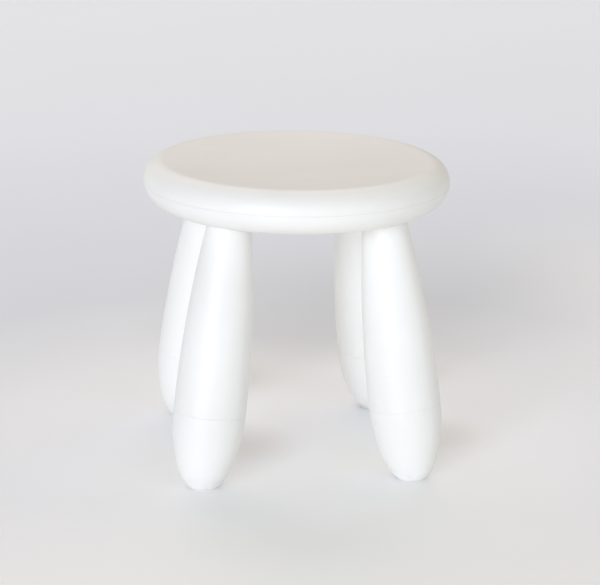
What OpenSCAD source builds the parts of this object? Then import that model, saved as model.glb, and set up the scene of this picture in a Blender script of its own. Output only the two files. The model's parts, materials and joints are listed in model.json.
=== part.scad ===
// Round child's stool in moulded plastic: a two-shell seat and four splayed legs.
// Each leg is a hollow tube closed by a snapped-in foot cap, and locks into the seat
// with a three-lug bayonet: a sixth of a turn frees it.
// Millimetres, +Z up, origin on the floor under the middle of the seat.

/* [Overall] */
// Height from the floor to the crest of the seat's rim
stool_h = 300; // [250:1:380]
// Diameter of the seat over its rim
seat_d = 302; // [250:1:380]
// Thickness of the seat from its flat underside to the crest of the rim
seat_t = 43; // [35:0.5:55]

/* [Seat shells] */
// Wall of both seat shells
seat_wall = 3; // [2.5:0.1:3.5]
// Radius of the rim's upper curve
rim_top_r = 19.5; // [16:0.5:22]
// Width of the rim's lower curve, from the flat underside to the edge of the seat
rim_under_w = 25; // [22:0.5:28]
// How far the parting line lies below the rim's widest level
seam_drop = 1.2; // [0.5:0.1:2]
// Depth of the dished sitting face below the rim's crest
dish_depth = 4; // [1:0.1:5]
// Radius of the flat in the middle of the dish
dish_flat_r = 28; // [15:1:40]
// Height of the lip on the lower shell that centres the upper one
lip_h = 4; // [3:0.5:6]
// Thickness of that lip
lip_t = 1.8; // [1.5:0.1:2.4]

/* [Seat stiffening] */
// Thickness of the ribs in both shells
rib_t = 2.4; // [1.6:0.1:3]
// Height of the ribs in both shells
rib_h = 12; // [8:0.5:13]
// Distance of the sitting face's ring rib from the leg sockets
ring_rib_gap = 14; // [6:1:20]
// Radius of the hub ring in the lower shell
hub_r = 24; // [16:1:26]

/* [Seat screws] */
// Radius of the inner ring of screws
screw_ring_r = 38; // [36:1:46]
// Distance of the outer ring of screws from the edge of the seat
screw_inset = 33; // [32:1:40]
// Diameter of the screw's shank
screw_d = 4; // [3.5:0.1:5]
// Diameter of the screw's head
screw_head_d = 8; // [7:0.1:9]
// Height of the screw's head
screw_head_h = 2.4; // [2:0.1:2.6]
// Length of the screw under its head
screw_len = 18; // [14:1:22]

/* [Legs] */
// Outward tilt of each leg
splay = 9.4; // [6:0.1:11]
// Distance of a leg's axis from the edge of the seat, at the underside
leg_inset = 46; // [45:0.5:52]
// Diameter of a leg at its widest, where tube and foot cap meet
belly_d = 70; // [58:1:84]
// Diameter of a leg where it enters the seat
leg_top_d = 40; // [38:0.5:41]
// Distance of the widest point from the sole, along the leg
foot_h = 75; // [60:1:95]
// Diameter of the flat under the foot
sole_d = 28; // [24:1:34]
// Wall of the leg tube and the foot cap
leg_wall = 3; // [2.5:0.1:3.5]

/* [Foot joint] */
// Height of the foot cap's spigot inside the leg tube
spigot_h = 16; // [12:1:20]
// Wall of the spigot
spigot_t = 2.2; // [1.8:0.1:2.6]
// Radius of the snap bead round the spigot
bead_r = 0.9; // [0.7:0.1:1]
// Diameter of the soft glide pushed into the sole
glide_d = 18; // [14:0.5:18]
// Thickness of the glide's disc
glide_t = 3; // [2.5:0.1:3.5]
// How far the glide stands proud of the sole
glide_proud = 0.6; // [0.4:0.1:0.9]
// Diameter of the glide's stem
glide_stem_d = 6; // [5:0.5:7]

/* [Bayonet] */
// Diameter of the leg's neck
neck_d = 34; // [32:0.5:34]
// How far each lug stands out from the neck
lug_reach = 3.6; // [3:0.1:3.8]
// Height of each lug
lug_t = 7; // [5:0.5:7]
// Angle that each lug covers
lug_angle = 40; // [30:1:42]
// Height of the ledge that the lugs lock over
ledge_t = 7; // [5:0.5:7]
// Depth at which the leg's shoulder sits inside the seat, at the shallow side
pocket_lap = 1.2; // [0.8:0.1:2]

/* [Clearances] */
// Gap all round between parts that slide or turn in each other
slip = 0.3; // [0.2:0.05:0.4]
// Gap between faces that bear on each other across the bayonet
face_gap = 0.15; // [0.1:0.05:0.3]
// Gap round a leg where it enters the seat
pocket_gap = 0.5; // [0.4:0.1:1]

/* [Hidden] */
$fn = 96;
arc_steps = 14;
// How far a cut reaches past the face that it opens
over = 1;
lug_count = 3;
leg_names = ["rear_right", "rear_left", "front_left", "front_right"];
leg_azimuths = [45, 135, 225, 315];
screw_azimuths = [0, 90, 180, 270];

// Seat levels and radii
seat_r = seat_d / 2;
underside_z = stool_h - seat_t;
wide_z = stool_h - rim_top_r;
seam_z = wide_z - seam_drop;
crest_r = seat_r - rim_top_r;
under_flat_r = seat_r - rim_under_w;
rim_under_h = wide_z - underside_z;
lip_outer_r = crest_r + sqrt(pow(rim_top_r - seat_wall, 2) - pow(lip_h - seam_drop, 2)) - slip;
lip_inner_r = lip_outer_r - lip_t;
// The dish is a shallow bowl, which the rim's upper curve runs into just past its crest
dish_tilt = 2 * atan(dish_depth / crest_r);
dish_arc_r = crest_r / sin(dish_tilt) - rim_top_r;
dish_centre_z = wide_z + (dish_arc_r + rim_top_r) * cos(dish_tilt);
dish_flat_tilt = asin(dish_flat_r / dish_arc_r);
// The rim's curve stops one step short of the bowl, so that no point is there twice
rim_step = 4;
rim_end_angle = 90 + dish_tilt - rim_step;
lip_clear = 1;
hub_over = 1;
rib_low_z = ceiling_z_at(dish_flat_r) - rib_h;
// Ribs, pillars and sockets are rooted in the middle of the wall that carries them
floor_root_z = underside_z + seat_wall / 2;

// Leg line and the radii along it
belly_r = belly_d / 2;
leg_top_r = leg_top_d / 2;
sole_r = sole_d / 2;
foot_r = seat_r - leg_inset + underside_z * tan(splay);
shoulder_s = (underside_z + leg_top_r * sin(splay)) / cos(splay) + pocket_lap;
barrel_run = shoulder_s - foot_h;
barrel_in = belly_r - leg_top_r;
barrel_arc_r = (barrel_run * barrel_run + barrel_in * barrel_in) / (2 * barrel_in);
foot_b = foot_h / sqrt(1 - pow(sole_r / belly_r, 2));
foot_floor_s = 7;
nose_under = 6;
// The leg leans, so the middle of its level sole lies a little inward of its axis
sole_lean = tan(splay) * pow(belly_r / foot_b, 2) * foot_h / sole_r;
sole_mid_r = foot_r - sole_r * sole_lean / (1 - sole_lean * sole_lean);

// Foot cap's spigot, which clears the tube's bore where the bore is narrowest
spigot_r = barrel_r_at(foot_h + spigot_h) - leg_wall - slip / 2;
spigot_top_s = foot_h + spigot_h - 0.5;
spigot_root_s = foot_h - spigot_h / 2;
spigot_root_r = belly_r - leg_wall / 2;
spigot_step = 1;
lead_in = 0.8;
bead_s = foot_h + 0.7 * spigot_h;
bead_centre_r = spigot_r - bead_r / 3;
foot_rib_h = 40;

// Bayonet levels, measured along the leg from the sole
ledge_top_s = shoulder_s + face_gap + ledge_t;
lug_low_s = ledge_top_s + face_gap;
neck_over = 1.5;
neck_end_s = lug_low_s + lug_t + neck_over;
neck_r = neck_d / 2;
lug_r = neck_r + lug_reach;
bore_r = neck_r + slip;
slot_r = lug_r + slip;
groove_r = slot_r + 0.2;
mouth_s = (underside_z - leg_top_r * sin(splay)) / cos(splay);
pocket_r = barrel_r_at(mouth_s) + pocket_gap;
socket_wall = 2.8;
socket_r = max(pocket_r, groove_r) + socket_wall;
socket_end_gap = 1.5;
socket_top_r = foot_r - stool_h * tan(splay);
socket_end_s = (ceiling_z_at(socket_top_r) - socket_end_gap - socket_r * sin(splay)) / cos(splay);
socket_roof_s = socket_end_s - seat_wall;
socket_end_r = foot_r - socket_end_s * sin(splay);
ring_rib_r = socket_end_r - socket_r - ring_rib_gap;
lug_pitch = 360 / lug_count;
unlock_turn = lug_pitch / 2;
slot_play = 6;
stop_play = 1;

// Screw joint levels
shelf_z = underside_z + seat_wall;
shelf_t = 4;
boss_r = 4.6;
pillar_r = 7;
counterbore_gap = 0.4;
shank_gap = 0.05;
shelf_hole_gap = 0.2;
screw_rings = [screw_ring_r, seat_r - screw_inset];
screw_tip_r = 0.5;
cross_w = 1;
cross_l = 4.6;
cross_depth = 1.3;
// Round shapes start their turn here, away from ribs, screws and lug slots
shell_turn = 22.5;
socket_turn = 100;

// The rim above its widest level, moved in by inset, from one angle to another
function rim_top_points(inset, from, to) = [
    for (i = [0:arc_steps])
        let (a = from + (to - from) * i / arc_steps)
        [crest_r, wide_z] + (rim_top_r - inset) * [cos(a), sin(a)]
];
// The rim below that level is a quarter of an ellipse, also moved in by inset
function rim_under_points(inset, from, to) = [
    for (i = [0:arc_steps])
        let (a = from + (to - from) * i / arc_steps)
        [under_flat_r + (rim_under_w - inset) * cos(a), wide_z + (rim_under_h - inset) * sin(a)]
];
// Angle at which that ellipse lies below the widest level by drop
function under_angle(inset, drop) = -asin(drop / (rim_under_h - inset));
// The dish from its flat middle out to the rim, moved down by inset
function dish_points(inset) = [
    for (i = [0:arc_steps])
        let (a = dish_flat_tilt + (dish_tilt - dish_flat_tilt) * i / arc_steps)
        [(dish_arc_r + inset) * sin(a), dish_centre_z - (dish_arc_r + inset) * cos(a)]
];
function dish_mid_z(inset) = dish_centre_z - (dish_arc_r + inset) * cos(dish_flat_tilt);
// Level of the ceiling's face, and of the middle of its wall, at the radius r
function ceiling_z_at(r) = dish_centre_z - sqrt(pow(dish_arc_r + seat_wall, 2) - r * r);
function root_z_at(r) = dish_centre_z - sqrt(pow(dish_arc_r + seat_wall / 2, 2) - r * r);
// Outer radius of a leg tube at the distance s from the sole
function barrel_r_at(s) = belly_r - barrel_arc_r + sqrt(pow(barrel_arc_r, 2) - pow(s - foot_h, 2));
function barrel_points(inset, from, to) = [
    for (i = [0:arc_steps])
        let (s = from + (to - from) * i / arc_steps)
        [barrel_r_at(s) - inset, s]
];
// The foot is half an ellipse, which is as wide as the sole where the leg's axis meets the floor
function foot_points(inset, low_s) =
    let (b = foot_b - inset, end = asin(min(1, (foot_h - low_s) / b)))
    [for (i = [0:arc_steps])
        let (a = end * i / arc_steps)
        [(belly_r - inset) * cos(a), foot_h - b * sin(a)]];
function reversed(points) = [for (i = [len(points) - 1:-1:0]) points[i]];

// ---- Placing and simple shapes ----
// A leg's own axes: +Z up its middle line from the sole, +X outward
module at_leg(azimuth) {
    rotate([0, 0, azimuth]) translate([foot_r, 0, 0]) rotate([0, -splay, 0]) children();
}
module at_screws(rings = screw_rings) {
    for (azimuth = screw_azimuths, r = rings)
        rotate([0, 0, azimuth]) translate([r, 0, 0]) rotate([0, 0, shell_turn]) children();
}
module disc(r, from, to) {
    translate([0, 0, from]) cylinder(r = r, h = to - from);
}
module ring(outer, inner, from, to) {
    rotate_extrude() polygon([[inner, from], [outer, from], [outer, to], [inner, to]]);
}
module sector(outer, inner, from, to, middle, angle) {
    rotate([0, 0, middle - angle / 2])
        rotate_extrude(angle = angle)
            polygon([[inner, from], [outer, from], [outer, to], [inner, to]]);
}
// A flat rib of the given outline, standing in a plane through the seat's axis
module radial_rib(outline) {
    rotate([90, 0, 0]) linear_extrude(rib_t, center = true) polygon(outline);
}
// Keeps only what lies between two levels
module between(low, high) {
    intersection() {
        children();
        translate([-seat_d, -seat_d, low]) cube([2 * seat_d, 2 * seat_d, high - low]);
    }
}

// ---- Seat ----
module seat_top_shell() {
    rotate([0, 0, shell_turn]) rotate_extrude() polygon(concat(
        [[0, dish_mid_z(0)]],
        dish_points(0),
        rim_top_points(0, rim_end_angle, 0),
        [for (inset = [0, seat_wall])
            let (a = under_angle(inset, seam_drop))
            [under_flat_r + (rim_under_w - inset) * cos(a), seam_z]],
        rim_top_points(seat_wall, 0, rim_end_angle),
        reversed(dish_points(seat_wall)),
        [[0, dish_mid_z(seat_wall)]]
    ));
}
module seat_top() {
    rib_end_r = lip_inner_r - lip_clear;
    rib_end_angle = acos((rib_end_r - crest_r) / (rim_top_r - seat_wall / 2));
    color("white") difference() {
        union() {
            seat_top_shell();
            rotate([0, 0, shell_turn])
                ring(ring_rib_r + rib_t / 2, ring_rib_r - rib_t / 2, rib_low_z, root_z_at(ring_rib_r));
            for (azimuth = screw_azimuths)
                rotate([0, 0, azimuth]) radial_rib(concat(
                    [[0, dish_mid_z(seat_wall / 2)], [0, rib_low_z], [rib_end_r, rib_low_z]],
                    rim_top_points(seat_wall / 2, rib_end_angle, rim_end_angle),
                    reversed(dish_points(seat_wall / 2))
                ));
            for (r = screw_rings)
                at_screws([r]) disc(boss_r, shelf_z + shelf_t, root_z_at(r));
            // A ring over each socket carries the load straight down the leg
            for (azimuth = leg_azimuths)
                between(underside_z, root_z_at(socket_end_r))
                    at_leg(azimuth) rotate([0, 0, socket_turn])
                        ring(neck_r, neck_r - seat_wall, socket_end_s, socket_end_s + seat_t);
        }
        at_screws() disc(screw_d / 2 + shank_gap, shelf_z, shelf_z + screw_len + over);
    }
}
module seat_base_shell() {
    lip_root_angle = -acos((lip_inner_r - under_flat_r) / (rim_under_w - seat_wall));
    rotate([0, 0, shell_turn]) rotate_extrude() polygon(concat(
        [[0, underside_z]],
        rim_under_points(0, -90, under_angle(0, seam_drop)),
        [[lip_outer_r, seam_z], [lip_outer_r, seam_z + lip_h], [lip_inner_r, seam_z + lip_h]],
        rim_under_points(seat_wall, lip_root_angle, -90),
        [[0, shelf_z]]
    ));
}
// What a socket takes away: the pocket for the leg's top, the bore, the slots for the lugs
// and the groove in which the lugs turn, less the ribs that stop them
module socket_cuts() {
    rotate([0, 0, socket_turn]) {
        disc(pocket_r, mouth_s - seat_t, shoulder_s + face_gap);
        disc(bore_r, shoulder_s, ledge_top_s + over);
    }
    for (i = [0:lug_count - 1])
        sector(slot_r, neck_r / 2, shoulder_s, ledge_top_s + over,
            i * lug_pitch - unlock_turn, lug_angle + slot_play);
    difference() {
        rotate([0, 0, socket_turn]) disc(groove_r, ledge_top_s, socket_roof_s);
        for (i = [0:lug_count - 1])
            sector(groove_r + over, bore_r + slip, ledge_top_s - over, socket_roof_s + over,
                i * lug_pitch + (lug_pitch - unlock_turn) / 2, lug_pitch - unlock_turn - lug_angle - stop_play);
    }
}
module seat_base() {
    web_top_z = shelf_z + rib_h;
    web_outline = concat(
        [[hub_r, web_top_z], [hub_r, floor_root_z]],
        rim_under_points(seat_wall / 2, -90, under_angle(seat_wall / 2, wide_z - web_top_z))
    );
    color("white") difference() {
        union() {
            seat_base_shell();
            for (azimuth = leg_azimuths) {
                rotate([0, 0, azimuth]) radial_rib(web_outline);
                between(floor_root_z, stool_h)
                    at_leg(azimuth) rotate([0, 0, socket_turn]) disc(socket_r, 0, socket_end_s);
            }
            rotate([0, 0, shell_turn])
                ring(hub_r + rib_t / 2, hub_r - rib_t / 2, floor_root_z, web_top_z + hub_over);
            at_screws() disc(pillar_r, floor_root_z, shelf_z + shelf_t);
        }
        for (azimuth = leg_azimuths) at_leg(azimuth) socket_cuts();
        at_screws() {
            disc(screw_head_d / 2 + counterbore_gap, underside_z - over, shelf_z);
            disc(screw_d / 2 + shelf_hole_gap, underside_z, shelf_z + shelf_t + over);
        }
    }
}
module seat_screws() {
    color("silver") at_screws() difference() {
        union() {
            disc(screw_head_d / 2, shelf_z - screw_head_h, shelf_z);
            disc(screw_d / 2, shelf_z - over, shelf_z + screw_len - screw_d);
            translate([0, 0, shelf_z + screw_len - screw_d]) cylinder(r1 = screw_d / 2, r2 = screw_tip_r, h = screw_d);
        }
        for (turn = [0, 90])
            rotate([0, 0, turn])
                translate([-cross_l / 2, -cross_w / 2, shelf_z - screw_head_h - over])
                    cube([cross_l, cross_w, cross_depth + over]);
    }
}

// ---- Legs ----
// Ring that the snap bead fills; grown by a clearance, it is the groove for it
module bead(grow) {
    rotate_extrude() translate([bead_centre_r, bead_s]) circle(r = bead_r + grow);
}
module leg_tube(azimuth) {
    color("white") at_leg(azimuth) difference() {
        union() {
            rotate_extrude() polygon(concat(
                barrel_points(0, foot_h, shoulder_s),
                [[neck_r, shoulder_s], [neck_r, neck_end_s], [0, neck_end_s], [0, neck_end_s - leg_wall]],
                [[neck_r - leg_wall, neck_end_s - leg_wall], [neck_r - leg_wall, shoulder_s - leg_wall]],
                reversed(barrel_points(leg_wall, foot_h, shoulder_s - leg_wall))
            ));
            for (i = [0:lug_count - 1])
                sector(lug_r, neck_r - leg_wall / 2, lug_low_s, lug_low_s + lug_t, i * lug_pitch, lug_angle);
        }
        bead(slip);
    }
}
// The solid that fills a foot's outline, moved in by inset, and reaches above its joint face
module foot_body(inset, low_s, above = 0) {
    rotate_extrude() polygon(concat(
        [[0, foot_h + above]],
        above > 0 ? [[belly_r - inset, foot_h + above]] : [],
        foot_points(inset, low_s),
        [[0, low_s]]
    ));
}
module spigot() {
    rotate_extrude() polygon([
        [spigot_r - spigot_t, spigot_root_s],
        [spigot_root_r, spigot_root_s],
        [spigot_root_r, foot_h - spigot_step],
        [spigot_r, foot_h - spigot_step],
        [spigot_r, spigot_top_s - lead_in],
        [spigot_r - lead_in, spigot_top_s],
        [spigot_r - spigot_t, spigot_top_s]
    ]);
}
module foot_cap(azimuth) {
    color("white") difference() {
        at_leg(azimuth) {
            difference() {
                foot_body(0, -nose_under);
                foot_body(leg_wall, foot_floor_s, over);
            }
            spigot();
            bead(0);
            // Crossed ribs brace the floor of the cap
            intersection() {
                foot_body(leg_wall / 2, 0);
                for (turn = [45, 135])
                    rotate([0, 0, turn]) translate([-belly_r, -rib_t / 2, 0]) cube([belly_d, rib_t, foot_rib_h]);
            }
        }
        // The sole is level, whatever the leg's tilt, and holds the glide in a recess
        rotate([0, 0, azimuth]) {
            translate([foot_r - belly_d, -belly_d, glide_proud - belly_d])
                cube([2 * belly_d, 2 * belly_d, belly_d]);
            translate([sole_mid_r, 0, 0]) {
                disc(glide_d / 2 + slip / 2, 0, glide_t + face_gap);
                disc(glide_stem_d / 2 + slip / 2, 0, foot_rib_h);
            }
        }
    }
}
module foot_glide(azimuth) {
    color("gainsboro") rotate([0, 0, azimuth]) translate([sole_mid_r, 0, 0]) {
        disc(glide_d / 2, 0, glide_t);
        disc(glide_stem_d / 2, 0, glide_t + foot_floor_s);
    }
}

seat_top();
seat_base();
seat_screws();
for (i = [0:len(leg_names) - 1]) {
    leg_tube(leg_azimuths[i]);
    foot_cap(leg_azimuths[i]);
    foot_glide(leg_azimuths[i]);
}
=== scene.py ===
# Round child's stool in moulded plastic: a two-shell seat on four splayed, barrel-shaped legs.
# Metres, +Z up, origin on the floor under the middle of the seat.
import json
import math

import bmesh
import bpy
import numpy as np
from mathutils import Matrix, Vector


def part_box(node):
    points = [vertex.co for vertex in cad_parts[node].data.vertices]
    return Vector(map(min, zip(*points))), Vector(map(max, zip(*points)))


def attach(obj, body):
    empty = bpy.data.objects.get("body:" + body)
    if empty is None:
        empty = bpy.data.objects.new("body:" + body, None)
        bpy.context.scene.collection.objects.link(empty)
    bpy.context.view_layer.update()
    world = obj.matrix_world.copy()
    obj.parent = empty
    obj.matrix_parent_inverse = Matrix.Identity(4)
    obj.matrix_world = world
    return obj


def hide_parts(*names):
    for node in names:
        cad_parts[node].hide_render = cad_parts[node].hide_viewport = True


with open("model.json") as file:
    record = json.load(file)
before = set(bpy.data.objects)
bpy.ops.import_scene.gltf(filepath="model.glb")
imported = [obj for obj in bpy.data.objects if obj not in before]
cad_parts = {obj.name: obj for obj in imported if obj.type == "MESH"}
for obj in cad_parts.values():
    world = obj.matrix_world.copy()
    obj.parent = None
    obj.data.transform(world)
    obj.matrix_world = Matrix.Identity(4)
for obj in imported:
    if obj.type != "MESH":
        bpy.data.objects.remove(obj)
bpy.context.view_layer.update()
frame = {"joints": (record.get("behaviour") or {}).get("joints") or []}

# ---- Lower seat shell ----
# The underside of the seat is a shallow bowl, injection-moulded in white polypropylene. Its floor
# carries a bayonet socket for each leg, webs out to the rim, a hub ring and eight screw pillars.
mm = 0.001
seat_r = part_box("seat_top")[1].x
crest_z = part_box("seat_top")[1].z
underside_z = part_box("seat_base")[0].z
over = mm  # How far a cutting tool runs past the face that it cuts
slip = 0.3 * mm
seat_wall = 3 * mm
rim_top_r = 19.5 * mm
rim_under_w = 25 * mm
wide_z = crest_z - rim_top_r
rim_under_h = wide_z - underside_z
crest_r = seat_r - rim_top_r
under_flat_r = seat_r - rim_under_w
seam_drop = 1.2 * mm
seam_z = wide_z - seam_drop
seam_ease = 0.55 * mm
lip_h = 4 * mm
lip_t = 1.8 * mm
lip_outer_r = crest_r + math.sqrt((rim_top_r - seat_wall) ** 2 - (lip_h - seam_drop) ** 2) - slip
lip_inner_r = lip_outer_r - lip_t
shelf_z = underside_z + seat_wall
floor_root_z = underside_z + seat_wall / 2
rib_t = 2.4 * mm
rib_h = 12 * mm
web_top_z = shelf_z + rib_h
hub_r = 24 * mm
hub_over = 1 * mm
seat_sides = 288
small_sides = 48


def bend(middle, width, height, start, end, steps=20):
    """Points along an ellipse in a plane of radius and height, between two angles in degrees."""
    turn = np.radians(np.linspace(start, end, steps + 1))
    return [(middle[0] + width * math.cos(a), middle[1] + height * math.sin(a)) for a in turn]


def softened(outline, reach, closed=True, steps=5):
    """The outline with each sharp corner drawn as a short curve that starts reach away from it."""
    sharp = math.radians(25)
    near_half = 0.48
    points = np.array(outline, float)
    path = np.vstack([points, points[:1]]) if closed else points
    spans = np.diff(path, axis=0)
    along = np.concatenate([[0], np.cumsum(np.linalg.norm(spans, axis=1))])
    heading = np.unwrap(np.arctan2(spans[:, 1], spans[:, 0]))
    turns = np.abs(np.diff(np.concatenate([heading[-1:] if closed else heading[:1], heading])))
    turns = np.minimum(turns % math.tau, math.tau - turns % math.tau)
    corners = [i for i, turn in enumerate(turns) if turn > sharp]
    total = along[-1]
    made = []
    trims = []
    for order, i in enumerate(corners):
        room = reach
        for other in corners[:order] + corners[order + 1:]:
            apart = abs(along[other] - along[i])
            room = min(room, near_half * (min(apart, total - apart) if closed else apart))
        trims.append((along[i], room))
        before, after = (
            np.array([np.interp((along[i] + way) % total, along, path[:, k]) for k in (0, 1)])
            for way in (-room, room)
        )
        for t in np.linspace(0, 1, steps):
            bent = (1 - t) ** 2 * before + 2 * t * (1 - t) * points[i] + t * t * after
            made.append(((along[i] + room * (2 * t - 1)) % total, *bent))
    for place, point in zip(along, points):
        gaps = [abs(place - corner) for corner, room in trims]
        if closed:
            gaps = [min(gap, total - gap) for gap in gaps]
        if all(gap > room for gap, (corner, room) in zip(gaps, trims)):
            made.append((place, *point))
    return [tuple(row[1:]) for row in sorted(made)]


def skin(rings, ends, place=None):
    """A closed solid through rings of points, whose ends are joined, capped or run to poles."""
    weld = 0.0005 * mm
    rings = np.asarray(rings, float)
    count, sides = rings.shape[:2]
    faces = []
    for i in range(count if ends == "joined" else count - 1):
        low, high = i * sides, (i + 1) % count * sides
        faces += [
            (low + k, low + (k + 1) % sides, high + (k + 1) % sides, high + k) for k in range(sides)
        ]
    if ends == "capped":
        faces += [tuple(range(sides)), tuple(range((count - 1) * sides, count * sides))]
    mesh = bpy.data.meshes.new("skin")
    mesh.from_pydata(rings.reshape(-1, 3).tolist(), [], faces)
    work = bmesh.new()
    work.from_mesh(mesh)
    bmesh.ops.remove_doubles(work, verts=work.verts, dist=weld)
    bmesh.ops.recalc_face_normals(work, faces=work.faces)
    work.to_mesh(mesh)
    work.free()
    if place is not None:
        mesh.transform(place)
    made = bpy.data.objects.new("skin", mesh)
    bpy.context.scene.collection.objects.link(made)
    return made


def turned(outline, ends="joined", sides=seat_sides, place=None):
    """A full turn of an outline of radius and height."""
    turn = np.linspace(0, math.tau, sides, endpoint=False)
    rings = [[(r * math.cos(a), r * math.sin(a), z) for a in turn] for r, z in outline]
    return skin(rings, ends, place)


def sector(outline, middle, angle, place=None, steps=12):
    """Part of a turn of a closed outline, in degrees about its middle."""
    turn = np.radians(np.linspace(middle - angle / 2, middle + angle / 2, steps + 1))
    rings = [[(r * math.cos(a), r * math.sin(a), z) for r, z in outline] for a in turn]
    return skin(rings, "capped", place)


def slab(outline, thickness, place=None):
    """A flat plate of the given outline, standing in the plane of X and Z."""
    sides = [[(x, side * thickness / 2, z) for x, z in outline] for side in (-1, 1)]
    return skin(sides, "capped", place)


def box_outline(inner, outer, low, high):
    """A rectangle between two radii and two levels."""
    return [(inner, low), (outer, low), (outer, high), (inner, high)]


def combine(base, operation, *tools):
    """Joins the tools to the base or cuts them out of it, and clears them away."""
    for tool in tools:
        change = base.modifiers.new("combine", "BOOLEAN")
        change.operation = operation
        change.solver = "MANIFOLD"
        change.object = tool
    whole = base.evaluated_get(bpy.context.evaluated_depsgraph_get())
    mesh = bpy.data.meshes.new_from_object(whole)
    base.modifiers.clear()
    base.data = mesh
    for tool in tools:
        bpy.data.objects.remove(tool)
    return base


def finished(piece, name, material):
    """Names a piece, shades it smooth up to its real edges and gives it its material."""
    edge_angle = math.radians(38)
    piece.name = name
    piece.data.name = name
    piece.data.materials.clear()
    piece.data.materials.append(material)
    piece.data.shade_smooth()
    piece.data.set_sharp_from_angle(angle=edge_angle)
    piece.modifiers.new("even shading", "WEIGHTED_NORMAL").keep_sharp = True
    return piece


def turn_about_z(degrees):
    return Matrix.Rotation(math.radians(degrees), 4, "Z")


# Each leg's own axes come from its joint: +Z up its middle line from the floor, +X outward
legs = {}
for joint in frame["joints"]:
    foot = Vector(joint["pos_m"])
    up = -Vector(joint["axis"]).normalized()
    side = up.cross(Vector((foot.x, foot.y, 0))).normalized()
    lean_out = side.cross(up)
    columns = Matrix((lean_out, side, up)).transposed().to_4x4()
    legs[joint["child"].replace("leg_", "")] = Matrix.Translation(foot) @ columns
foot_r = Vector(frame["joints"][0]["pos_m"]).length
splay = math.asin(Vector(frame["joints"][0]["axis"]).normalized().xy.length)
leg_azimuths = [math.degrees(math.atan2(place.col[3].y, place.col[3].x)) for place in legs.values()]

# Bayonet socket, by distance up the leg's line
foot_h = 75 * mm
belly_r = 35 * mm
leg_top_r = 20 * mm
pocket_lap = 1.2 * mm
shoulder_s = (underside_z + leg_top_r * math.sin(splay)) / math.cos(splay) + pocket_lap
barrel_run = shoulder_s - foot_h
barrel_arc_r = (barrel_run**2 + (belly_r - leg_top_r) ** 2) / (2 * (belly_r - leg_top_r))
face_gap = 0.15 * mm
ledge_t = 7 * mm
neck_r = 17 * mm
lug_reach = 3.6 * mm
lug_r = neck_r + lug_reach
lug_t = 7 * mm
lug_angle = 40
lug_count = 3
lug_pitch = 360 / lug_count
slot_play = 6
stop_play = 1
ledge_top_s = shoulder_s + face_gap + ledge_t
pocket_gap = 0.5 * mm
mouth_s = (underside_z - leg_top_r * math.sin(splay)) / math.cos(splay)
mouth_ease = 0.9 * mm


def barrel_r(s):
    """Outer radius of a leg at the distance s up its line."""
    return belly_r - barrel_arc_r + math.sqrt(barrel_arc_r**2 - (s - foot_h) ** 2)


# The sitting face above is a shallow bowl with a flat in its middle, which the rim's curve runs into
dish_depth = 4 * mm
dish_flat_r = 28 * mm
dish_tilt = 2 * math.atan(dish_depth / crest_r)
dish_arc_r = crest_r / math.sin(dish_tilt) - rim_top_r
dish_centre_z = wide_z + (dish_arc_r + rim_top_r) * math.cos(dish_tilt)


def dish_level(r, inset=0.0):
    """Level of the bowl at a radius, or of a face that lies inset below it."""
    return dish_centre_z - math.sqrt((dish_arc_r + inset) ** 2 - r**2)


pocket_r = barrel_r(mouth_s) + pocket_gap
bore_r = neck_r + slip
slot_r = lug_r + slip
groove_deeper = 0.2 * mm
groove_r = slot_r + groove_deeper
socket_wall = 2.8 * mm
socket_r = pocket_r + socket_wall
socket_end_gap = 1.5 * mm
socket_ceiling_z = dish_level(foot_r - crest_z * math.tan(splay), seat_wall)
socket_end_s = (socket_ceiling_z - socket_end_gap - socket_r * math.sin(splay)) / math.cos(splay)
socket_roof_s = socket_end_s - seat_wall
leg_sides = 160


def level_s(r, turn, z):
    """How far up a leg's line a point lies that is r out, at an angle in radians, at a level z."""
    return (z - r * math.cos(turn) * math.sin(splay)) / math.cos(splay)


def leg_ring(r, s_of):
    """One ring about a leg's line, whose distance up that line may change round the ring."""
    turn = np.linspace(0, math.tau, leg_sides, endpoint=False)
    return [(r * math.cos(a), r * math.sin(a), s_of(a)) for a in turn]


def socket_block(place):
    """The round boss that holds a leg, rooted in the middle of the floor."""
    middle = leg_ring(0, lambda a: level_s(0, a, floor_root_z))
    low = leg_ring(socket_r, lambda a: level_s(socket_r, a, floor_root_z))
    high = leg_ring(socket_r, lambda a: socket_end_s)
    roof = leg_ring(0, lambda a: socket_end_s)
    return skin([middle, low, high, roof], "poles", place)


def socket_space(place):
    """What a socket leaves free: a pocket with an eased mouth, the bore, slots and a groove."""
    start_z = underside_z - 2 * over
    wide_r = pocket_r + mouth_ease
    rings = [leg_ring(0, lambda a: level_s(0, a, start_z))]
    rings.append(leg_ring(wide_r, lambda a: level_s(wide_r, a, start_z)))
    for t in np.linspace(0, 1, 7):
        r = pocket_r + (1 - t) ** 2 * mouth_ease
        rings.append(leg_ring(r, lambda a, r=r, t=t: level_s(r, a, underside_z) + t * t * mouth_ease))
    for r, s in (
        (pocket_r, shoulder_s + face_gap),
        (bore_r, shoulder_s + face_gap),
        (bore_r, ledge_top_s),
        (groove_r, ledge_top_s),
        (groove_r, socket_roof_s),
        (0, socket_roof_s),
    ):
        rings.append(leg_ring(r, lambda a, s=s: s))
    space = skin(rings, "poles", place)
    slot = box_outline(neck_r / 2, slot_r, shoulder_s, ledge_top_s + over)
    stop = box_outline(bore_r + slip, groove_r + over, ledge_top_s - over, socket_roof_s + over)
    stop_angle = lug_pitch / 2 - lug_angle - stop_play
    for i in range(lug_count):
        at_slot = i * lug_pitch - lug_pitch / 2
        combine(space, "UNION", sector(slot, at_slot, lug_angle + slot_play, place))
        at_stop = i * lug_pitch + lug_pitch / 4
        combine(space, "DIFFERENCE", sector(stop, at_stop, stop_angle, place))
    return space


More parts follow.
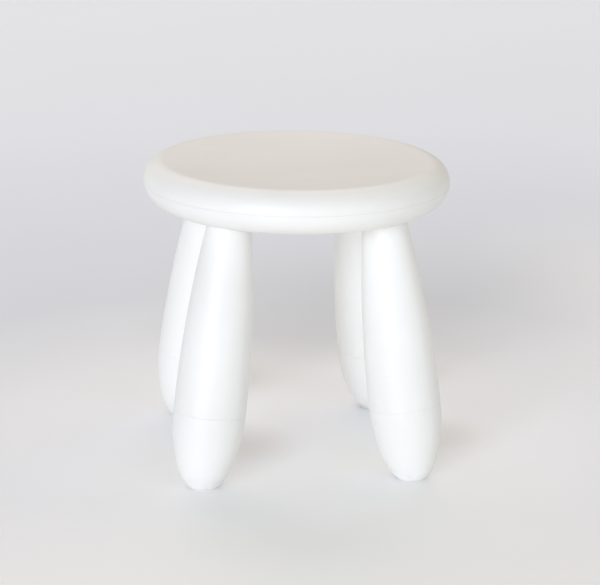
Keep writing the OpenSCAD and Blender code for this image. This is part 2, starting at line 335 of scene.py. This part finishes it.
screw_ring_r = 38 * mm
screw_inset = 33 * mm
screw_azimuths = (0, 90, 180, 270)
screw_places = [
    turn_about_z(azimuth) @ Matrix.Translation((r, 0, 0))
    for azimuth in screw_azimuths
    for r in (screw_ring_r, seat_r - screw_inset)
]
shelf_t = 4 * mm
pillar_r = 7 * mm
pillar_top_z = shelf_z + shelf_t
counterbore_r = 4.4 * mm
counterbore_ease = 0.5 * mm
shelf_hole_r = 2.2 * mm

seam_angle = -math.degrees(math.asin(seam_drop / rim_under_h))
lip_root_angle = -math.degrees(math.acos((lip_inner_r - under_flat_r) / (rim_under_w - seat_wall)))
under_middle = (under_flat_r, wide_z)
bowl = (
    [(0, underside_z)]
    + bend(under_middle, rim_under_w, rim_under_h, -90, seam_angle, 40)
    + [(lip_outer_r, seam_z), (lip_outer_r, seam_z + lip_h), (lip_inner_r, seam_z + lip_h)]
    + bend(under_middle, rim_under_w - seat_wall, rim_under_h - seat_wall, lip_root_angle, -90)
    + [(0, shelf_z)]
)
seat_base = turned(softened(bowl, seam_ease, closed=False), "poles")
root_w, root_h = rim_under_w - seat_wall / 2, rim_under_h - seat_wall / 2
web_end = -math.degrees(math.asin((wide_z - web_top_z) / root_h))
web = [(hub_r, web_top_z), (hub_r, floor_root_z)] + bend(under_middle, root_w, root_h, -90, web_end)
hub = box_outline(hub_r - rib_t / 2, hub_r + rib_t / 2, floor_root_z, web_top_z + hub_over)
combine(seat_base, "UNION", *[slab(web, rib_t, turn_about_z(azimuth)) for azimuth in leg_azimuths])
combine(seat_base, "UNION", *[socket_block(place) for place in legs.values()], turned(hub))
pillar = box_outline(0, pillar_r, floor_root_z, pillar_top_z)
pillars = [turned(pillar, "poles", small_sides, place) for place in screw_places]
combine(seat_base, "UNION", *pillars)
counterbore = (
    [(0, underside_z - over), (counterbore_r + counterbore_ease, underside_z - over)]
    + [
        (counterbore_r + counterbore_ease * (1 - t) ** 2, underside_z + counterbore_ease * t * t)
        for t in np.linspace(0, 1, 6)
    ]
    + [(counterbore_r, shelf_z), (shelf_hole_r, shelf_z)]
    + [(shelf_hole_r, pillar_top_z + over), (0, pillar_top_z + over)]
)
counterbores = [turned(counterbore, "poles", small_sides, place) for place in screw_places]
combine(seat_base, "DIFFERENCE", *[socket_space(place) for place in legs.values()])
combine(seat_base, "DIFFERENCE", *counterbores)


class Wire:
    """One output of a material's node tree. Arithmetic on it adds Math nodes."""

    def __init__(self, socket):
        self.socket = socket

    def node(self, kind, settings=None, inputs=None, output=0):
        """Adds a node: its settings are set first, then values or wires go to its sockets."""
        tree = self.socket.id_data
        made = tree.nodes.new(kind)
        for name, value in (settings or {}).items():
            if name == "stops":
                ramp = made.color_ramp
                while len(ramp.elements) < len(value):
                    ramp.elements.new(1)
                for element, (place, colour) in zip(ramp.elements, value):
                    element.position = place
                    element.color = (*colour, 1)
            else:
                setattr(made, name, value)
        for name, value in (inputs or {}).items():
            if isinstance(value, Wire):
                tree.links.new(value.socket, made.inputs[name])
            else:
                made.inputs[name].default_value = value
        return Wire(made.outputs[output])

    def maths(self, operation, *others):
        inputs = dict(enumerate((self, *others)))
        return self.node("ShaderNodeMath", {"operation": operation}, inputs)

    def vector(self, operation, *others, output=0):
        inputs = dict(enumerate((self, *others)))
        return self.node("ShaderNodeVectorMath", {"operation": operation}, inputs, output)

    def __add__(self, other):
        return self.maths("ADD", other)

    def __mul__(self, other):
        return self.maths("MULTIPLY", other)

    __radd__ = __add__
    __rmul__ = __mul__

    def between(self, low, high):
        """0 below low, 1 above high, and smooth in between; low may be the larger of the two."""
        inputs = {"Value": self, "From Min": low, "From Max": high}
        return self.node("ShaderNodeMapRange", {"interpolation_type": "SMOOTHSTEP"}, inputs)

    def noise(self, scale, detail=2.0, roughness=0.5):
        inputs = {"Vector": self, "Scale": scale, "Detail": detail, "Roughness": roughness}
        return self.node("ShaderNodeTexNoise", {}, inputs)

    def stretched(self, scale):
        return self.node("ShaderNodeMapping", {}, {"Vector": self, "Scale": scale})

    def height(self):
        """The level of this position."""
        return self.node("ShaderNodeSeparateXYZ", {}, {"Vector": self}, output=2)

    def blend(self, colour, mask):
        """This colour where the mask is 0, and the other colour where it is 1."""
        inputs = {0: mask, 6: self, 7: (*colour, 1)}
        return self.node("ShaderNodeMix", {"data_type": "RGBA"}, inputs, output=2)

    def bump(self, strength, depth):
        """The surface's normal, with this wire as the height of fine relief."""
        inputs = {"Strength": strength, "Distance": depth, "Height": self}
        return self.node("ShaderNodeBump", {}, inputs)


def new_material(name, colour, roughness):
    """A material with its shader's constants set. Returns it, its shader and its surface position."""
    material = bpy.data.materials.new(name)
    material.use_nodes = True
    tree = material.node_tree
    shader = tree.nodes["Principled BSDF"]
    shader.inputs["Base Color"].default_value = (*colour, 1)
    shader.inputs["Roughness"].default_value = roughness
    position = tree.nodes.new("ShaderNodeTexCoord")
    return material, shader, Wire(position.outputs["Object"])


def feed(shader, name, wire):
    """Leads a wire to one of the shader's sockets."""
    wire.socket.id_data.links.new(wire.socket, shader.inputs[name])


def plain_colour(wire, colour):
    """A constant colour in the same tree, to start a chain of blends."""
    inputs = {0: 0.0, 6: (*colour, 1), 7: (*colour, 1)}
    return wire.node("ShaderNodeMix", {"data_type": "RGBA"}, inputs, output=2)


def dimmed(colour, share):
    """The same colour at a share of its brightness."""
    return tuple(share * level for level in colour)


def moulded_plastic(name, colour, wear=None):
    """Satin polypropylene: a faintly spark-eroded skin, soft tone drift and rare dark specks.

    Wear, if it is given, lays marks of use over the tone and the roughness.
    """
    material, shader, at = new_material(name, colour, 0.42)
    shader.inputs["IOR"].default_value = 1.49
    shader.inputs["Specular IOR Level"].default_value = 0.5
    drift = at.noise(9.0, 3.0)
    specks = at.noise(420.0, 1.0).between(0.80, 0.84)
    grain = at.noise(2600.0, 3.0, 0.6)
    flow = at.noise(38.0, 2.0)
    tone = plain_colour(at, colour).blend(dimmed(colour, 0.965), drift.between(0.35, 0.7))
    tone = tone.blend((0.42, 0.40, 0.37), specks * 0.5)
    rough = 0.37 + grain * 0.06 + flow * 0.05
    if wear:
        tone, rough = wear(at, tone, rough)
    feed(shader, "Base Color", tone)
    feed(shader, "Roughness", rough)
    ripple = flow * 0.25 + grain * 0.12
    feed(shader, "Normal", ripple.bump(0.25, 0.1 * mm))
    return material


seat_white = (0.915, 0.902, 0.875)
seat_plastic = moulded_plastic("seat_plastic", seat_white)
finished(seat_base, "lower_shell", seat_plastic)
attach(seat_base, "seat")
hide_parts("seat_base")

# ---- Seat screws ----
# Eight zinc-plated, pan-headed self-tapping screws, four near the hub and four near the rim.
# They go up through the lower shell's pillars and cut their thread in the upper shell's bosses.
head_r = 4 * mm
head_h = 2.4 * mm
head_round = 1.1 * mm
head_chamfer = 0.2 * mm
shank_r = 2 * mm
core_r = 1.5 * mm
thread_pitch = 1.4 * mm
screw_len = 18 * mm
tip_len = 4 * mm
tip_r = 0.5 * mm
cross_l = 4.6 * mm
cross_w = 1 * mm
cross_taper = 0.62
cross_depth = 1.3 * mm
rings_per_turn = 8
head_low_z = shelf_z - head_h
screw_tip_z = shelf_z + screw_len


def thread_r(z):
    """Radius of the screw at a level, in the middle of the turn: it tapers over the tip."""
    share = min(1, max(0, (screw_tip_z - z) / tip_len))
    return tip_r + (1 - tip_r / shank_r) * shank_r * share


def threaded_screw(place):
    """A pan head with a cross recess, on a shank whose thread winds up to a blunt tip."""
    around = np.linspace(0, math.tau, small_sides, endpoint=False)
    head_middle = (head_r - head_round, head_low_z + head_round)
    head = (
        [(0, head_low_z)]
        + bend(head_middle, head_round, head_round, -90, 0, 8)
        + [(head_r, shelf_z - head_chamfer), (head_r - head_chamfer, shelf_z), (core_r, shelf_z)]
    )
    rings = [[(r * math.cos(a), r * math.sin(a), z) for a in around] for r, z in head]
    for z in np.arange(shelf_z + head_chamfer, screw_tip_z, thread_pitch / rings_per_turn):
        ring = []
        for a in around:
            phase = (z / thread_pitch - a / math.tau) % 1
            ridge = max(0, 1 - abs(phase - 0.5) * 4)
            fade = min(1, (z - shelf_z) / thread_pitch)
            r = thread_r(z) * (core_r / shank_r + (1 - core_r / shank_r) * ridge * fade)
            ring.append((r * math.cos(a), r * math.sin(a), z))
        rings.append(ring)
    rings.append([(0, 0, screw_tip_z)] * small_sides)
    screw = skin(rings, "poles")
    half = cross_l / 2
    groove = [(-half, head_low_z - over), (half, head_low_z - over)]
    groove += [(side * half * cross_taper, head_low_z + cross_depth) for side in (1, -1)]
    for degrees in (0, 90):
        combine(screw, "DIFFERENCE", slab(groove, cross_w, turn_about_z(degrees)))
    screw.data.transform(place)
    return screw


def zinc_plate(name):
    """Bright zinc: fine turning marks and a faint mottle of tone and gloss."""
    material, shader, at = new_material(name, (0.66, 0.66, 0.68), 0.3)
    shader.inputs["Metallic"].default_value = 1.0
    mottle = at.noise(700.0, 3.0)
    marks = at.stretched((1.0, 1.0, 30.0)).noise(300.0, 2.0)
    tone = plain_colour(at, (0.70, 0.70, 0.72)).blend((0.52, 0.53, 0.56), mottle.between(0.4, 0.7))
    feed(shader, "Base Color", tone)
    feed(shader, "Roughness", 0.24 + mottle * 0.16)
    feed(shader, "Normal", marks.bump(0.2, 0.05 * mm))
    return material


screws = [threaded_screw(place) for place in screw_places]
with bpy.context.temp_override(active_object=screws[0], selected_editable_objects=screws):
    bpy.ops.object.join()
seat_screws = finished(screws[0], "seat_screw_set", zinc_plate("screw_steel"))
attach(seat_screws, "seat")
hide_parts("seat_screws")

# ---- Upper seat shell ----
# The sitting face: a shallow dish that rises to a puffy round rim, moulded in one with the ribs,
# screw bosses and load rings under it. It drops over the lower shell's lip and meets it at the seam.
boss_r = 4.6 * mm
boss_hole_r = 2.05 * mm
root_depth = seat_wall / 2
rib_low_z = dish_level(dish_flat_r, seat_wall) - rib_h
lip_clear = 1 * mm
rib_end_r = lip_inner_r - lip_clear
socket_end_r = foot_r - socket_end_s * math.sin(splay)
ring_rib_gap = 14 * mm
ring_rib_r = socket_end_r - socket_r - ring_rib_gap


def dish(inset, steps=28):
    """The bowl from its flat middle out to where the rim's curve begins, moved down by inset."""
    arc_r = dish_arc_r + inset
    flat_tilt = math.asin(dish_flat_r / dish_arc_r)
    turn = np.linspace(flat_tilt, dish_tilt, steps + 1)
    bowl_points = [(arc_r * math.sin(a), dish_centre_z - arc_r * math.cos(a)) for a in turn]
    return [(0, bowl_points[0][1])] + bowl_points


rim_middle = (crest_r, wide_z)
inner_rim_r = rim_top_r - seat_wall
rim_end = 90 + math.degrees(dish_tilt)
cover = (
    dish(0)[:-1]
    + bend(rim_middle, rim_top_r, rim_top_r, rim_end, 0, 48)
    + bend(under_middle, rim_under_w, rim_under_h, seam_angle / 2, seam_angle, 1)
    + [(seat_r - seat_wall, seam_z)]
    + bend(rim_middle, inner_rim_r, inner_rim_r, 0, rim_end)
    + dish(seat_wall)[-2::-1]
)
seat_top = turned(softened(cover, seam_ease, closed=False), "poles")
root_rim_r = rim_top_r - seat_wall / 2
rib_end_angle = math.degrees(math.acos((rib_end_r - crest_r) / root_rim_r))
rib = (
    [(0, rib_low_z), (rib_end_r, rib_low_z)]
    + bend(rim_middle, root_rim_r, root_rim_r, rib_end_angle, rim_end)
    + dish(root_depth)[-2::-1]
)
ring_rib_top_z = dish_level(ring_rib_r, root_depth)
ring_rib = box_outline(ring_rib_r - rib_t / 2, ring_rib_r + rib_t / 2, rib_low_z, ring_rib_top_z)
combine(seat_top, "UNION", *[slab(rib, rib_t, turn_about_z(azimuth)) for azimuth in screw_azimuths])
combine(seat_top, "UNION", turned(ring_rib))
for place in screw_places:
    boss_root_z = dish_level(place.col[3].xy.length, root_depth)
    boss = box_outline(0, boss_r, pillar_top_z, boss_root_z)
    combine(seat_top, "UNION", turned(boss, "poles", small_sides, place))
hole = box_outline(0, boss_hole_r, shelf_z, screw_tip_z + over)
holes = [turned(hole, "poles", small_sides, place) for place in screw_places]
combine(seat_top, "DIFFERENCE", *holes)


def load_ring(place):
    """A ring over a socket, square to the leg's line below and rooted in the ceiling above."""
    inner_r = neck_r - seat_wall
    top_z = dish_level(socket_end_r, root_depth)
    low = [leg_ring(r, lambda a: socket_end_s) for r in (inner_r, neck_r)]
    high = [leg_ring(r, lambda a, r=r: level_s(r, a, top_z)) for r in (neck_r, inner_r)]
    return skin(low + high, "joined", place)


combine(seat_top, "UNION", *[load_ring(place) for place in legs.values()])


def seat_face_wear(at, tone, rough):
    """What use leaves on the sitting face: hair scratches, and rubbed and matt patches."""
    face = at.height().between(crest_z - 8 * mm, crest_z - 5 * mm)
    hairs = at.stretched((3.0, 60.0, 3.0)).noise(14.0, 4.0, 0.7).between(0.66, 0.69)
    cross_hairs = at.stretched((55.0, 3.0, 3.0)).noise(12.0, 4.0, 0.7).between(0.67, 0.70)
    rubbed = at.noise(22.0, 4.0, 0.6).between(0.52, 0.66)
    scratches = hairs.maths("MAXIMUM", cross_hairs) * face
    tone = tone.blend(dimmed(seat_white, 0.93), scratches * 0.5)
    tone = tone.blend(dimmed(seat_white, 0.975), rubbed * face * 0.6)
    return tone, rough + scratches * 0.12 + rubbed * face * 0.06


seat_face_plastic = moulded_plastic("seat_face_plastic", seat_white, seat_face_wear)
finished(seat_top, "upper_shell", seat_face_plastic)
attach(seat_top, "seat")
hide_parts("seat_top")

# ---- Leg tubes ----
# Four hollow barrel-shaped tubes in the same plastic as the seat, open below. The closed neck goes
# up into the seat, where three lugs lock over the socket's ledge when the leg is twisted home.
leg_wall = 3 * mm
neck_over = 1.5 * mm
lug_low_s = ledge_top_s + face_gap
neck_end_s = lug_low_s + lug_t + neck_over
lug_ease = 0.6 * mm
joint_ease = 0.5 * mm
spigot_h = 16 * mm
spigot_r = barrel_r(foot_h + spigot_h) - leg_wall - slip / 2
bead_r = 0.9 * mm
bead_s = foot_h + 0.7 * spigot_h
bead_reach = 2 * mm
bead_middle = (spigot_r - bead_r / 3, bead_s)
groove_bend_r = bead_r + slip
groove_half = math.degrees(math.acos((barrel_r(bead_s) - leg_wall - bead_middle[0]) / groove_bend_r))
leg_white = (0.92, 0.909, 0.885)
dust_tone = (0.62, 0.60, 0.56)


def barrel(inset, low, high, steps):
    """Points along the barrel's side between two distances up the leg, moved in by inset."""
    return [(barrel_r(s) - inset, s) for s in np.linspace(low, high, steps + 1)]


tube_outline = (
    barrel(0, foot_h, shoulder_s, 90)
    + [(neck_r, shoulder_s), (neck_r, neck_end_s), (0, neck_end_s), (0, neck_end_s - leg_wall)]
    + [(neck_r - leg_wall, neck_end_s - leg_wall), (neck_r - leg_wall, shoulder_s - leg_wall)]
    + barrel(leg_wall, shoulder_s - leg_wall, bead_s + bead_reach, 40)
    + bend(bead_middle, groove_bend_r, groove_bend_r, groove_half, -groove_half, 10)
    + barrel(leg_wall, bead_s - bead_reach, foot_h, 6)
)
lug = box_outline(neck_r - leg_wall / 2, lug_r, lug_low_s, lug_low_s + lug_t)


def leg_wear(at, tone, rough):
    """What use leaves on the legs: scuffs round the lower part and a trace of dust near the floor."""
    height = at.height()
    low = height.between(110 * mm, 20 * mm)
    scuffs = at.stretched((3.0, 3.0, 40.0)).noise(16.0, 4.0, 0.7).between(0.65, 0.69) * low
    dust = at.noise(60.0, 4.0, 0.6).between(0.4, 0.7) * height.between(22 * mm, 2 * mm)
    tone = tone.blend((0.74, 0.73, 0.71), scuffs * 0.35)
    tone = tone.blend(dust_tone, dust * 0.35)
    return tone, rough + scuffs * 0.12 + dust * 0.15


def split_poles(outline):
    """Cuts an outline that touches the axis twice in a row there, so that it runs from pole to pole."""
    first = next(i for i, (r, z) in enumerate(outline) if r == 0)
    return outline[first + 1:] + outline[:first + 1]


tube_line = softened(split_poles(tube_outline), joint_ease, closed=False)
lug_line = softened(lug, lug_ease)
leg_plastic = moulded_plastic("leg_plastic", leg_white, leg_wear)
for name, place in legs.items():
    tube = turned(tube_line, "poles", leg_sides, place)
    lugs = [sector(lug_line, i * lug_pitch, lug_angle, place) for i in range(lug_count)]
    combine(tube, "UNION", *lugs)
    finished(tube, f"leg_{name}", leg_plastic)
    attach(tube, f"leg_{name}")
    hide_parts(f"leg_tube_{name}")

# ---- Foot caps ----
# The rounded lower end of each leg is a cap of its own, snapped into the tube by a beaded spigot.
# Its sole is cut level, holds a soft glide, and crossed ribs brace its floor inside.
sole_r = 14 * mm
sole_z = 0.6 * mm
nose_depth = foot_h / math.sqrt(1 - (sole_r / belly_r) ** 2)
foot_floor_s = 7 * mm
sole_ease = 5 * mm
sole_lean = math.tan(splay) * (belly_r / nose_depth) ** 2 * foot_h / sole_r
sole_mid = -sole_r * sole_lean / (1 - sole_lean**2)
glide_r = 9 * mm
glide_t = 3 * mm
stem_r = 3 * mm
recess_r = glide_r + slip / 2
recess_ease = 0.4 * mm
recess_edge = 0.1 * mm
recess_top_z = glide_t + face_gap
stem_hole_r = stem_r + slip / 2
stem_way_over = 5 * mm
spigot_t = 2.2 * mm
spigot_inner_r = spigot_r - spigot_t
spigot_root_s = foot_h - spigot_h / 2
spigot_top_s = foot_h + spigot_h - 0.5 * mm
lead_in = 0.8 * mm
rib_root_s = 5 * mm
rib_top_s = 40 * mm
lean = Matrix.Rotation(-splay, 3, "Y")


def upright(r, turn, z):
    """A point r from the glide's middle at a level z, in the leg's own axes."""
    point = Vector((sole_mid + r * math.cos(turn), r * math.sin(turn), z))
    return np.array(lean.inverted() @ point)


def nose(angle, turn):
    """A point on the foot's half-ellipse, down by an angle from its widest level."""
    r = belly_r * math.cos(angle)
    return np.array((r * math.cos(turn), r * math.sin(turn), foot_h - nose_depth * math.sin(angle)))


def level_of(point):
    """Height over the floor of a point in the leg's own axes."""
    return point[0] * math.sin(splay) + point[2] * math.cos(splay)


def foot_meridian(turn):
    """One line down the outside of the cap, over the eased edge of the sole and into its recess."""
    across = belly_r * math.cos(turn) * math.sin(splay)
    down = nose_depth * math.cos(splay)
    reach = math.hypot(across, down)
    hit = math.acos((sole_z - foot_h * math.cos(splay)) / reach) - math.atan2(down, across)
    step = 0.001
    sole_share = 0.8
    speed = np.linalg.norm(nose(hit, turn) - nose(hit - step, turn)) / step
    leave = hit - sole_ease / speed
    start = nose(leave, turn)
    heading = nose(leave + step, turn) - start
    drop = level_of(start) - level_of(start + heading)
    control = start + heading * (level_of(start) - sole_z) / drop
    rim = upright(recess_r, turn, sole_z)
    inward = (rim - control) / np.linalg.norm(rim - control)
    end = control + inward * np.linalg.norm(control - start) * sole_share
    line = [nose(angle, turn) for angle in np.linspace(0, leave, 48)]
    for t in np.linspace(0, 1, 13)[1:]:
        line.append((1 - t) ** 2 * start + 2 * t * (1 - t) * control + t * t * end)
    line += [
        upright(recess_r + recess_ease, turn, sole_z),
        upright(recess_r + recess_edge, turn, sole_z + recess_edge),
        upright(recess_r, turn, sole_z + recess_ease),
        upright(recess_r, turn, recess_top_z),
    ]
    hole_low = upright(stem_hole_r, turn, recess_top_z)
    hole_high = upright(stem_hole_r, turn, recess_top_z + foot_floor_s)
    share = (foot_floor_s - hole_low[2]) / (hole_high[2] - hole_low[2])
    return line + [hole_low, hole_low + (hole_high - hole_low) * share]


def inside_outline():
    """Radius and distance up the leg of the cap's inside and spigot, from the floor to the joint."""
    width, height = belly_r - leg_wall, nose_depth - leg_wall
    floor_angle = -math.degrees(math.asin((foot_h - foot_floor_s) / height))
    ledge_angle = -math.degrees(math.asin((foot_h - spigot_root_s) / height))
    hollow = bend((0, foot_h), width, height, floor_angle, ledge_angle, 24)
    bead_half = math.degrees(math.acos((spigot_r - bead_middle[0]) / bead_r))
    spigot = [(spigot_inner_r, spigot_root_s), (spigot_inner_r, spigot_top_s)]
    spigot += [(spigot_r - lead_in, spigot_top_s), (spigot_r, spigot_top_s - lead_in)]
    bead = bend(bead_middle, bead_r, bead_r, bead_half, -bead_half, 8)
    joint = [(spigot_r, foot_h), (belly_r - joint_ease, foot_h)]
    for t in (0.25, 0.5, 0.75):
        joint.append((belly_r - joint_ease * (1 - t) ** 2, foot_h - joint_ease * t * t))
    return hollow + spigot + bead + joint


def cap_ribs():
    """Two crossed plates that follow the cap's inside, rooted in the middle of its wall."""
    width, height = belly_r - leg_wall / 2, nose_depth - leg_wall / 2
    ends = [-math.degrees(math.asin((foot_h - s) / height)) for s in (rib_root_s, rib_top_s)]
    right = bend((0, foot_h), width, height, *ends, 12)
    outline = right + [(-r, s) for r, s in reversed(right)]
    return [slab(outline, rib_t, turn_about_z(degrees)) for degrees in (45, 135)]


turns = np.linspace(0, math.tau, leg_sides, endpoint=False)
outside = np.array([foot_meridian(turn) for turn in turns])[:, 2:].transpose(1, 0, 2)
inside = [[(r * math.cos(a), r * math.sin(a), s) for a in turns] for r, s in inside_outline()]
stem_line = box_outline(0, stem_hole_r, glide_t, rib_top_s + stem_way_over)
stem_way = [[tuple(upright(r, a, z)) for a in turns] for r, z in stem_line]
for name, place in legs.items():
    cap = skin(np.concatenate([outside, np.array(inside)]), "joined")
    combine(cap, "UNION", *cap_ribs())
    combine(cap, "DIFFERENCE", skin(stem_way, "poles"))
    cap.data.transform(place)
    finished(cap, f"foot_{name}", leg_plastic)
    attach(cap, f"leg_{name}")
    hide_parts(f"foot_cap_{name}")

# ---- Glides ----
# A soft, slightly see-through disc under each foot keeps the stool from sliding. Its stem is
# pushed up into the cap, and shallow rings are moulded in the face that stands on the floor.
dimple_r = 1.5 * mm
dimple_depth = 0.35 * mm
dimple_slope = 0.3 * mm
tread_start_r = 2.6 * mm
tread_w = 0.9 * mm
tread_depth = 0.25 * mm
tread_pitch = 1.6 * mm
tread_count = 3
glide_round = 0.7 * mm
stem_chamfer = 1 * mm
glide_ease = 0.15 * mm
glide_sides = 96
glide_milk = (0.88, 0.87, 0.85)


def glide_outline():
    """From the dimple in the middle of the face, over the treads and the edge, up to the stem's end."""
    line = [(0, dimple_depth), (dimple_r - dimple_slope, dimple_depth), (dimple_r, 0)]
    for i in range(tread_count):
        inner = tread_start_r + i * tread_pitch
        outer = inner + tread_w
        line += [(inner, 0), (inner + tread_depth, tread_depth)]
        line += [(outer - tread_depth, tread_depth), (outer, 0)]
    line += bend((glide_r - glide_round, glide_round), glide_round, glide_round, -90, 0, 6)
    line += [(glide_r, glide_t), (stem_r, glide_t)]
    stem_end = glide_t + foot_floor_s
    return line + [(stem_r, stem_end - stem_chamfer), (stem_r - stem_chamfer, stem_end), (0, stem_end)]


def soft_elastomer(name):
    """Milky soft plastic, matt and a little dirty where it meets the floor."""
    material, shader, at = new_material(name, glide_milk, 0.6)
    shader.inputs["Transmission Weight"].default_value = 0.15
    shader.inputs["IOR"].default_value = 1.48
    dirt = at.noise(300.0, 4.0, 0.65).between(0.35, 0.7) * at.height().between(1.0 * mm, 0.0)
    tone = plain_colour(at, glide_milk).blend(dust_tone, dirt * 0.6)
    feed(shader, "Base Color", tone)
    feed(shader, "Roughness", 0.55 + dirt * 0.25)
    fuzz = at.noise(1800.0, 3.0)
    feed(shader, "Normal", fuzz.bump(0.3, 0.1 * mm))
    return material


glide_line = softened(glide_outline(), glide_ease, closed=False)
glide_plastic = soft_elastomer("glide_plastic")
for name, place in legs.items():
    foot = place.col[3].xyz
    outward = Vector((foot.x, foot.y, 0)).normalized()
    stand = Matrix.Translation(foot + outward * sole_mid)
    glide = turned(glide_line, "poles", glide_sides, stand)
    finished(glide, f"glide_{name}", glide_plastic)
    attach(glide, f"leg_{name}")
    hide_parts(f"foot_glide_{name}")

# ---- Floor ----
# A pale studio floor that runs back a long way. Light and shade are painted into its colour: it is
# palest round the stool and again far behind it, with a greyer band of painted shade between, whiter
# painted light in front and to the right, and painted shade beside each foot. A faint glow of its own
# stands in for the room's light, and a painted glow lies under each sole.
floor_r = 30.0
floor_t = 0.02
floor_middle_r = 2.0
floor_sides = 96
ramp_reach = 10.0
camera_heading = math.radians(8.422)
# Colours of the floor's painted light and painted shade, and of its glow
painted_light_white = (1.0, 1.0, 1.0)
shade_band_grey = (0.60, 0.62, 0.66)
foot_shade_tone = (0.68, 0.64, 0.60)
room_glow = (0.205, 0.213, 0.225)
painted_sole_glow = (1.0, 0.92, 0.82)


def stretch(way, start, full, fading, end):
    """1 between full and fading along a way, 0 before start and past end, and smooth in between."""
    return way.between(start, full) * way.between(end, fading)


floor_line = [(0, 0), (floor_middle_r, 0), (floor_r, 0), (floor_r, -floor_t), (0, -floor_t)]
floor = turned(floor_line, "poles", floor_sides)
floor_material, floor_shader, at_floor = new_material("studio_floor", (0.80, 0.80, 0.81), 0.6)

# Painted shade: the floor's tone is palest near the stool, greyer in a ring from about 0.4 to 1.5 m out,
# and pale again further away
away = at_floor.vector("LENGTH", output=1) * (1 / ramp_reach)
tone = away.node("ShaderNodeValToRGB", {"stops": [
    (0.0, (0.885, 0.905, 0.94)),
    (0.030, (0.885, 0.90, 0.935)),
    (0.055, (0.745, 0.775, 0.845)),
    (0.095, (0.785, 0.82, 0.905)),
    (0.16, (0.865, 0.905, 0.985)),
    (0.30, (0.90, 0.935, 1.0)),
]}, {0: away})

# Depth runs back through the middle of the stool, and side runs to the right of that. Each patch
# is given in metres along both.
depth = at_floor.vector("DOT_PRODUCT", (math.sin(camera_heading), math.cos(camera_heading), 0), output=1)
side = at_floor.vector("DOT_PRODUCT", (math.cos(camera_heading), -math.sin(camera_heading), 0), output=1)
# Painted shade: a greyer patch on the floor just behind the stool
behind = stretch(depth, 0.22, 0.38, 0.42, 0.85) * stretch(side, -0.24, -0.02, 0.02, 0.3)
# Painted light: whiter patches on the floor far to the right, in front of the stool, and between and
# before the front feet
painted_light_far_right = stretch(depth, 0.02, 0.3, 0.6, 1.1) * side.between(0.2, 0.44)
near = depth.between(-0.1, -0.36)
painted_light_between_feet = depth.between(0.04, -0.14) * stretch(side, -0.26, -0.1, 0.12, 0.3)
# Painted shade behind the stool, then painted light in the whiter patches
tone = tone.blend(shade_band_grey, behind * 0.62)
tone = tone.blend(painted_light_white, painted_light_far_right * 0.5)
tone = tone.blend(painted_light_white, near * 0.7)
tone = tone.blend(painted_light_white, painted_light_between_feet * 0.75)

# The feet lie alike in all four quarters, so a distance from them is measured in one quarter.
# A warm shade lies behind each foot and to its right, on the side away from the key light.
sole_place = foot_r + sole_mid
foot_corner = (sole_place / math.sqrt(2), sole_place / math.sqrt(2), 0)
shade_offset = (0.05, 0.11, 0)
moved = at_floor.vector("SUBTRACT", shade_offset).vector("ABSOLUTE")
foot_shade = moved.vector("DISTANCE", foot_corner, output=1).between(0.075, 0.0)
tone = tone.blend(foot_shade_tone, foot_shade * 0.45)
mottle = at_floor.noise(3.0, 3.0).between(0.3, 0.7)
tone = tone.blend((0.80, 0.80, 0.80), mottle * 0.06)
feed(floor_shader, "Base Color", tone)
feed(floor_shader, "Roughness", 0.55 + at_floor.noise(40.0, 3.0) * 0.12)

# A painted glow on the floor under each sole stands in for the light that the white caps let through, so
# the floor isn't black under the soles
from_sole = at_floor.vector("ABSOLUTE").vector("DISTANCE", foot_corner, output=1)
under_soles = from_sole.between(1.02 * sole_r, 0.85 * sole_r)
glow = plain_colour(at_floor, room_glow).blend(painted_sole_glow, under_soles)
feed(floor_shader, "Emission Color", glow)
floor_shader.inputs["Emission Strength"].default_value = 0.25
finished(floor, "studio_floor", floor_material)

# ---- Studio light ----
# A broad cool soft box low on the front left does most of the work. Weaker and wider ones fill in
# from the front right and the back left, and warm lamps shine down from the back and back right.
scene = bpy.context.scene
scene.view_settings.view_transform = "Standard"
room = bpy.data.worlds.new("room")
room.use_nodes = True
scene.world = room
room.node_tree.nodes["Background"].inputs["Color"].default_value = (0.365, 0.36, 0.35, 1)

# Each is a far, wide source: degrees from the front towards the left, degrees up, the width of its
# disc in degrees, and its colour times its strength
soft_boxes = {
    "key": (32, 12, 34, (0.505, 0.54, 0.6)),
    "right_fill": (-35, 14, 50, (0.14, 0.155, 0.158)),
    "back_fill": (150, 14, 50, (0.085, 0.095, 0.08)),
    "back_lamp": (180, 45, 50, (0.235, 0.196, 0.19)),
    "side_lamp": (-120, 45, 50, (0.1, 0.092, 0.06)),
}
for name, (azimuth, elevation, width, colour) in soft_boxes.items():
    turn = math.radians(azimuth)
    lift = math.radians(elevation)
    level = math.cos(lift)
    way = Vector((-math.sin(turn) * level, -math.cos(turn) * level, math.sin(lift)))
    light = bpy.data.lights.new(name, "SUN")
    light.angle = math.radians(width)
    light.energy = math.pi * max(colour)
    light.color = [c / max(colour) for c in colour]
    lamp = bpy.data.objects.new(name, light)
    lamp.rotation_euler = way.to_track_quat("Z", "Y").to_euler()
    scene.collection.objects.link(lamp)

# ---- Camera ----
# A long lens 0.7 m above the floor and 1.8 m away, looking down on the stool from a little left
# of its front.
camera = bpy.data.cameras.new("camera")
camera.sensor_width = 36
camera.lens = 114.25
eye = Vector((-0.2637, -1.8139, 0.7125))
pitch = math.radians(16.705)
roll = math.radians(0.761)
level_way = Vector((math.sin(camera_heading), math.cos(camera_heading), 0))
ahead = math.cos(pitch) * level_way - math.sin(pitch) * Vector((0, 0, 1))
right = Vector((math.cos(camera_heading), -math.sin(camera_heading), 0))
above = right.cross(ahead)
rolled_right = math.cos(roll) * right + math.sin(roll) * above
rolled_above = math.cos(roll) * above - math.sin(roll) * right
axes = Matrix((rolled_right, rolled_above, -ahead)).transposed().to_4x4()
viewer = bpy.data.objects.new("camera", camera)
viewer.matrix_world = Matrix.Translation(eye) @ axes
scene.collection.objects.link(viewer)
scene.camera = viewer
